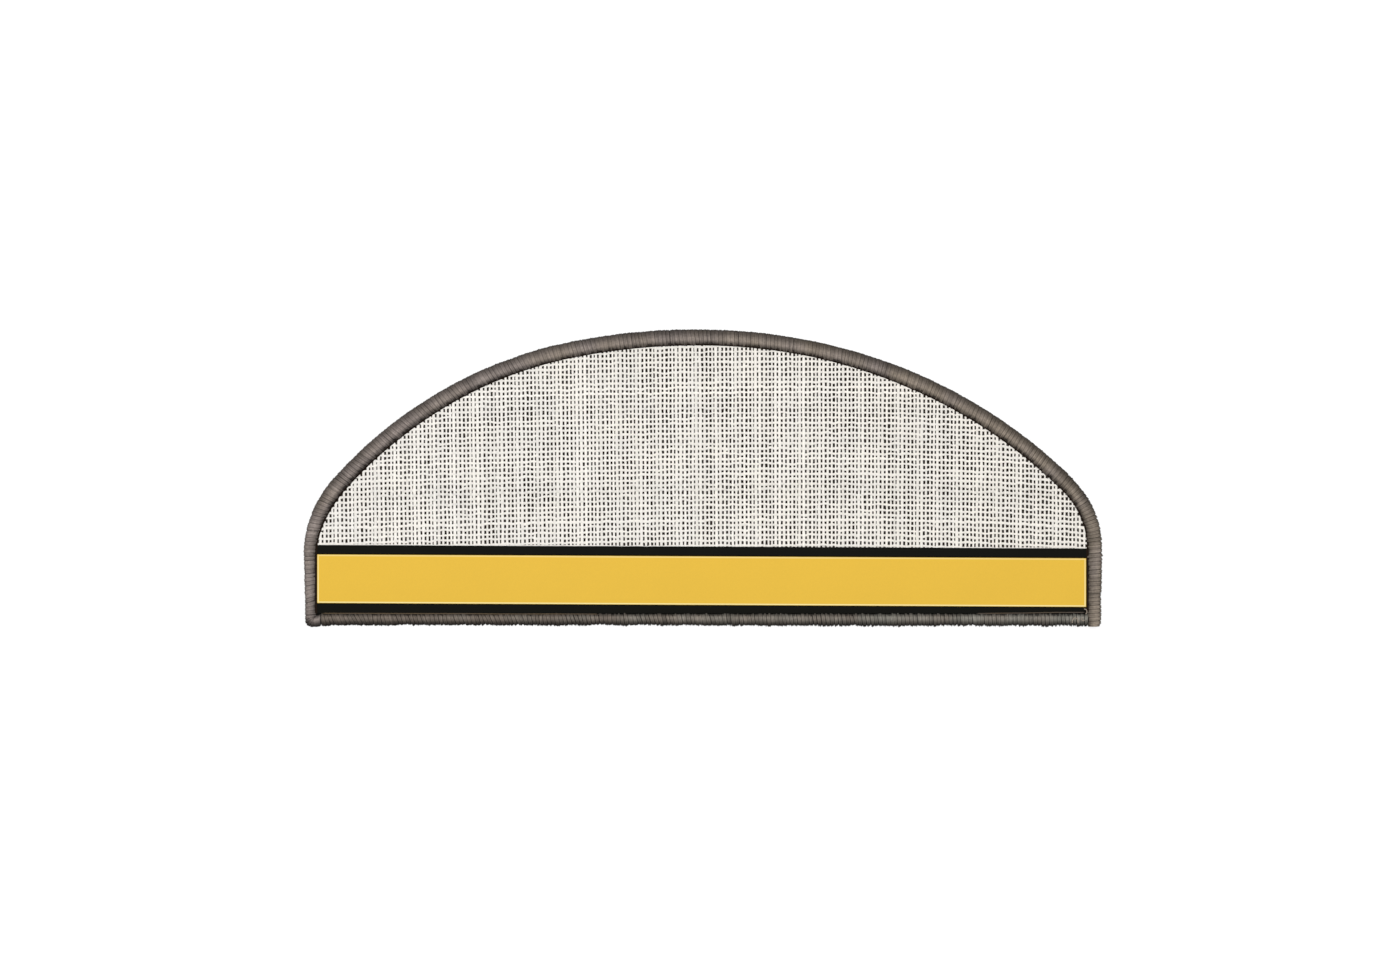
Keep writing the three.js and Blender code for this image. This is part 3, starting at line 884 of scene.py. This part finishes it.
spun_yarn.links.new(fibre.outputs["Fac"], fuzz.inputs["Height"])
spun_yarn.links.new(fuzz.outputs["Normal"], result.inputs["Normal"])
print("group", spun_yarn.name, "with", len(spun_yarn.nodes), "nodes")

# %% Group: moulded grain
moulded_grain, entry, result = new_group(
    "moulded grain",
    [
        ("Colour", COLOUR, (0.5, 0.5, 0.5, 1)),
        ("Grain scale", FLOAT, 1800.0),
        ("Grain depth", FLOAT, 0.0001),
        ("Blotch", FLOAT, 0.05),
        ("Base roughness", FLOAT, 0.5),
    ],
    [("Colour", COLOUR), ("Roughness", FLOAT), ("Normal", VECTOR)],
)
place = add(moulded_grain, "ShaderNodeTexCoord")
grain = add(moulded_grain, "ShaderNodeTexNoise", Detail=2, Roughness=0.5)
blotch = add(moulded_grain, "ShaderNodeTexNoise", Scale=14, Detail=3, Roughness=0.55)
for noise in (grain, blotch):
    moulded_grain.links.new(place.outputs["Object"], noise.inputs["Vector"])
moulded_grain.links.new(entry.outputs["Grain scale"], grain.inputs["Scale"])
blotch_part = maths(moulded_grain, "SUBTRACT", blotch.outputs["Fac"], 0.5)
blotch_part = maths(moulded_grain, "MULTIPLY", blotch_part, entry.outputs["Blotch"])
grain_part = maths(moulded_grain, "MULTIPLY_ADD", grain.outputs["Fac"], 0.08, 0.96)
shade = maths(moulded_grain, "ADD", grain_part, blotch_part)
moulded_grain.links.new(tinted(moulded_grain, entry.outputs["Colour"], shade), result.inputs["Colour"])
rough = maths(moulded_grain, "MULTIPLY_ADD", grain.outputs["Fac"], 0.15, entry.outputs["Base roughness"])
moulded_grain.links.new(rough, result.inputs["Roughness"])
relief = add(moulded_grain, "ShaderNodeBump", Strength=0.5)
moulded_grain.links.new(entry.outputs["Grain depth"], relief.inputs["Distance"])
moulded_grain.links.new(grain.outputs["Fac"], relief.inputs["Height"])
moulded_grain.links.new(relief.outputs["Normal"], result.inputs["Normal"])
print("group", moulded_grain.name, "with", len(moulded_grain.nodes), "nodes")


# %% Build a material from a group
def finish_from(name, group, values, shader_values):
    """A material whose look comes from a node group; shader_values are set on the shader itself."""
    material = bpy.data.materials.new(name)
    material.use_nodes = True
    tree = material.node_tree
    shader = tree.nodes["Principled BSDF"]
    look = tree.nodes.new("ShaderNodeGroup")
    look.node_tree = group
    for label, value in values.items():
        look.inputs[label].default_value = value
    for label, value in shader_values.items():
        shader.inputs[label].default_value = value
    for label, target in (("Colour", "Base Color"), ("Roughness", "Roughness"), ("Normal", "Normal")):
        tree.links.new(look.outputs[label], shader.inputs[target])
    return material, tree, look, shader


def spun(name, colour, far_colour, fibre_depth=0.0003, ply=0.0):
    """A finish of spun yarn, with its colours at the left and the right end of the mat."""
    values = {
        "Colour": srgb(*colour),
        "Far colour": srgb(*far_colour),
        "Fibre depth": fibre_depth,
        "Ply": ply,
    }
    return finish_from(name, spun_yarn, values, {"Specular IOR Level": 0.1})[0]


def moulded(name, colour, scale, depth, blotch, roughness, specular):
    """A finish of moulded rubber or vinyl, with its tree, its group and its shader."""
    values = {
        "Colour": srgb(*colour),
        "Grain scale": scale,
        "Grain depth": depth,
        "Blotch": blotch,
        "Base roughness": roughness,
    }
    return finish_from(name, moulded_grain, values, {"Specular IOR Level": specular})


off_white = spun("off-white yarn", (248, 244, 238), (246, 241, 233), fibre_depth=0.00012)
taupe = spun("taupe overcast yarn", (150, 139, 133), (148, 136, 123), ply=0.9)
taupe_front = spun("taupe overcast yarn along the front", (144, 132, 121), (149, 145, 136), ply=0.9)
thread_brown = spun("brown seam thread", (152, 131, 104), (142, 128, 116))
ground_dark = moulded("dark bond coat", (49, 43, 38), 260.0, 0.0, 0.9, 0.7, 0.05)[0]
black_band = moulded("black band rubber", (17, 17, 14), 1400.0, 0.00012, 0.5, 0.58, 0.03)[0]
# painted shadow: the strip's near-black colour stands for the shade under the overcast edge's inner rim
shadow_strip_paint = moulded("painted shadow strip", (32, 24, 18), 1400.0, 0.00012, 0.5, 0.7, 0.03)[0]
backing_rubber = moulded("backing rubber", (62, 60, 56), 700.0, 0.0003, 0.25, 0.7, 0.3)[0]
print("eight finishes made")

# %% [markdown]
# ## The yellow insert
# The vinyl is an even warm yellow, with painted light that makes it a shade lighter towards the left and
# the back. Its cut edges are rounded: the outermost rim turns away and gets painted shade, and a thin
# painted highlight runs just inside it, clearer along the front. Both masks are worked out from the
# distance to the nearest of the four edges, in the insert's own skewed frame.

# %% Distances on the insert
yellow, tree, look, shader = moulded("yellow insert vinyl", YELLOW, 900.0, 0.00006, 0.06, 0.5, 0.05)
CUT_SHORT = 0.35 * MM
place = add(tree, "ShaderNodeTexCoord")
split = add(tree, "ShaderNodeSeparateXYZ")
tree.links.new(place.outputs["Object"], split.inputs[0])
middle_y = (INSERT_TOP - INSERT_HEIGHT / 2 - DEPTH / 2) * MM
low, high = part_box("contrast_insert")
middle_x, half_length = (low[0] + high[0]) / 2, (high[0] - low[0]) / 2
skewed = maths(tree, "MULTIPLY_ADD", split.outputs["X"], BAND_SLOPE, split.outputs["Y"])
above_middle = maths(tree, "SUBTRACT", skewed, middle_y)
right_of_middle = maths(tree, "SUBTRACT", split.outputs["X"], middle_x)
to_long_edge = maths(tree, "SUBTRACT", INSERT_HEIGHT / 2 * MM, maths(tree, "ABSOLUTE", above_middle))
to_short_edge = maths(tree, "SUBTRACT", half_length - CUT_SHORT, maths(tree, "ABSOLUTE", right_of_middle))
nearest = maths(tree, "DIVIDE", maths(tree, "MINIMUM", to_long_edge, to_short_edge), MM)
print(f"insert {2000 * half_length:.1f} x {INSERT_HEIGHT} mm")

# %% Painted highlight line and painted shade on the rim of the insert
PALE_FROM, PALE_RISE, PALE_UNTIL, PALE_FALL = 0.2, 0.4, 1.6, 0.5
PALE_AT_BACK, RIM_GAIN, RIM_TONE = 0.6, 1.2, 0.55
LEFT_GAIN, BACK_GAIN = -0.03, 0.7
# painted highlight: a thin pale line just inside the rounded edges, clearer along the front
rising = maths(tree, "DIVIDE", maths(tree, "SUBTRACT", nearest, PALE_FROM), PALE_RISE)
falling = maths(tree, "DIVIDE", maths(tree, "SUBTRACT", PALE_UNTIL, nearest), PALE_FALL)
near_side = add(
    tree, "ShaderNodeMapRange", From_Min=-20 * MM, From_Max=20 * MM, To_Min=1.0, To_Max=PALE_AT_BACK
)
tree.links.new(above_middle, near_side.inputs["Value"])
line = maths(tree, "MINIMUM", maths(tree, "MINIMUM", rising, falling), 1.0)
pale = maths(tree, "MULTIPLY", line, near_side.outputs["Result"], clamp=True)
# painted shade on the outermost rim, which turns away from the light
turned_away = maths(tree, "MULTIPLY_ADD", nearest, RIM_GAIN, RIM_TONE, clamp=True)
# painted light: the face is a shade lighter towards the left and the back
leftwards = maths(tree, "MULTIPLY_ADD", split.outputs["X"], LEFT_GAIN, 1.0)
backwards = maths(tree, "MULTIPLY", above_middle, BACK_GAIN)
painted_light_and_rim_shade = maths(tree, "MULTIPLY", maths(tree, "ADD", leftwards, backwards), turned_away)
highlight_mix = add(tree, "ShaderNodeMix", data_type="RGBA")
tree.links.new(pale, highlight_mix.inputs["Factor"])
tree.links.new(tinted(tree, look.outputs["Colour"], painted_light_and_rim_shade), highlight_mix.inputs[6])
highlight_mix.inputs[7].default_value = srgb(250, 232, 165)
tree.links.new(highlight_mix.outputs[2], shader.inputs["Base Color"])
print(f"pale line {PALE_UNTIL - PALE_FROM:.1f} mm wide round the insert")


# %% Give every piece its finish
def dress(piece, material):
    piece.data.materials.clear()
    piece.data.materials.append(material)


for piece, material in [
    (warp_yarns, off_white),
    (weft_yarns, off_white),
    (bond_coat, ground_dark),
    (painted_shadow_strip, shadow_strip_paint),
    (overcast_arch, taupe),
    (overcast_front, taupe_front),
    (seam_thread, thread_brown),
    (loose_loops, taupe),
]:
    dress(piece, material)
for node, material in [
    ("nosing_band", black_band),
    ("contrast_insert", yellow),
    ("rubber_backing", backing_rubber),
]:
    dress(bpy.data.objects[node], material)
print("finishes placed")

# %% [markdown]
# ## The stage
# The mat was photographed from straight above on plain white, in soft light with hardly a shadow. The
# floor is a matt white that shows as pure white to the camera and still keeps the mat's own shadow.
# The world gives most of the light, and two broad lamps give the yarns their relief. The camera hangs
# above the mat, and its lens is worked out so that one pixel covers its real share of the mat's top.

# %% Floor
FLOOR_HALF, FLOOR_DROP, FLOOR_TONE = 3, 0.0002, 0.3
GLOW_NEAR, GLOW_FAR, GLOW_AT_MAT = 0.45, 0.9, 0.74


def seen_white(tree, unseen):
    """One where the camera or a mirror looks, and the given strength for all other rays."""
    sight = add(tree, "ShaderNodeLightPath")
    looked_at = maths(tree, "MAXIMUM", sight.outputs["Is Camera Ray"], sight.outputs["Is Glossy Ray"])
    looked_at = maths(tree, "MAXIMUM", looked_at, sight.outputs["Is Transmission Ray"])
    return maths(tree, "MAXIMUM", looked_at, unseen)


bm = bmesh.new()
bmesh.ops.create_grid(bm, x_segments=1, y_segments=1, size=FLOOR_HALF)
bmesh.ops.translate(bm, verts=bm.verts, vec=(0, 0, -FLOOR_DROP))
floor = finish_mesh(bm, "floor", smooth=False)
paper = bpy.data.materials.new("white floor")
paper.use_nodes = True
tree = paper.node_tree
shader = tree.nodes["Principled BSDF"]
shader.inputs["Base Color"].default_value = (FLOOR_TONE, FLOOR_TONE, FLOOR_TONE, 1)
shader.inputs["Roughness"].default_value = 0.9
shader.inputs["Specular IOR Level"].default_value = 0.1
shader.inputs["Emission Color"].default_value = (1, 1, 1, 1)
place = add(tree, "ShaderNodeTexCoord")
distance = add(tree, "ShaderNodeVectorMath", operation="LENGTH")
tree.links.new(place.outputs["Object"], distance.inputs[0])
glow = add(
    tree, "ShaderNodeMapRange", From_Min=GLOW_NEAR, From_Max=GLOW_FAR, To_Min=GLOW_AT_MAT, To_Max=1.0
)
tree.links.new(distance.outputs["Value"], glow.inputs["Value"])
white = maths(tree, "MULTIPLY", seen_white(tree, 0.0), glow.outputs["Result"])
tree.links.new(white, shader.inputs["Emission Strength"])
dress(floor, paper)

# %% World and lamps
SKY = 0.28
world = bpy.data.worlds.new("soft studio")
bpy.context.scene.world = world
world.use_nodes = True
background = world.node_tree.nodes["Background"]
background.inputs["Color"].default_value = (1, 1, 1, 1)
world.node_tree.links.new(seen_white(world.node_tree, SKY), background.inputs["Strength"])


def lamp(name, place, size, power):
    """A round soft lamp that is turned to the middle of the mat."""
    light = bpy.data.lights.new(name, "AREA")
    light.shape, light.size, light.energy = "DISK", size, power
    holder = bpy.data.objects.new(name, light)
    holder.location = place
    holder.rotation_euler = (-Vector(place)).to_track_quat("-Z", "Y").to_euler()
    bpy.context.scene.collection.objects.link(holder)


lamp("overhead_softbox", (-0.35, 0.3, 3.3), 1.5, 76)
lamp("side_softbox", (1.5, 0.6, 2.3), 1.0, 9)
print("world at", SKY, "with two lamps")

# %% Camera
PIXEL, PHOTO_WIDTH, OFF_CENTRE = 0.65 / 798, 1400, (-2.6, -2.2)
SENSOR, CAMERA_HEIGHT, SCALE_LEVEL = 36, 2.6, 0.003
camera_data = bpy.data.cameras.new("from_above")
camera_data.sensor_width = SENSOR
camera_data.lens = SENSOR * (CAMERA_HEIGHT - SCALE_LEVEL) / (PHOTO_WIDTH * PIXEL)
camera = bpy.data.objects.new("from_above", camera_data)
camera.location = (OFF_CENTRE[0] * PIXEL, OFF_CENTRE[1] * PIXEL, CAMERA_HEIGHT)
bpy.context.scene.collection.objects.link(camera)
bpy.context.scene.camera = camera
bpy.context.scene.view_settings.view_transform = "Standard"
print(f"lens {camera_data.lens:.1f} mm at {CAMERA_HEIGHT} m")

# %% [markdown]
# ## Fix the pieces to the mat
# Each piece rides on the one body of the mat, and the solids of the woven face and of both overcast runs
# are hidden.

# %% Ride and replace
for piece, slot in [
    (warp_yarns, "woven_yarn"),
    (weft_yarns, "woven_yarn"),
    (bond_coat, "woven_yarn"),
    (painted_shadow_strip, "backing_rubber"),
    (overcast_arch, "overcast_yarn"),
    (overcast_front, "overcast_yarn"),
    (seam_thread, "overcast_yarn"),
    (loose_loops, "overcast_yarn"),
]:
    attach(piece, "root")
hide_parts("woven_face")
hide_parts("overcast_arch_run")
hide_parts("overcast_front_run")
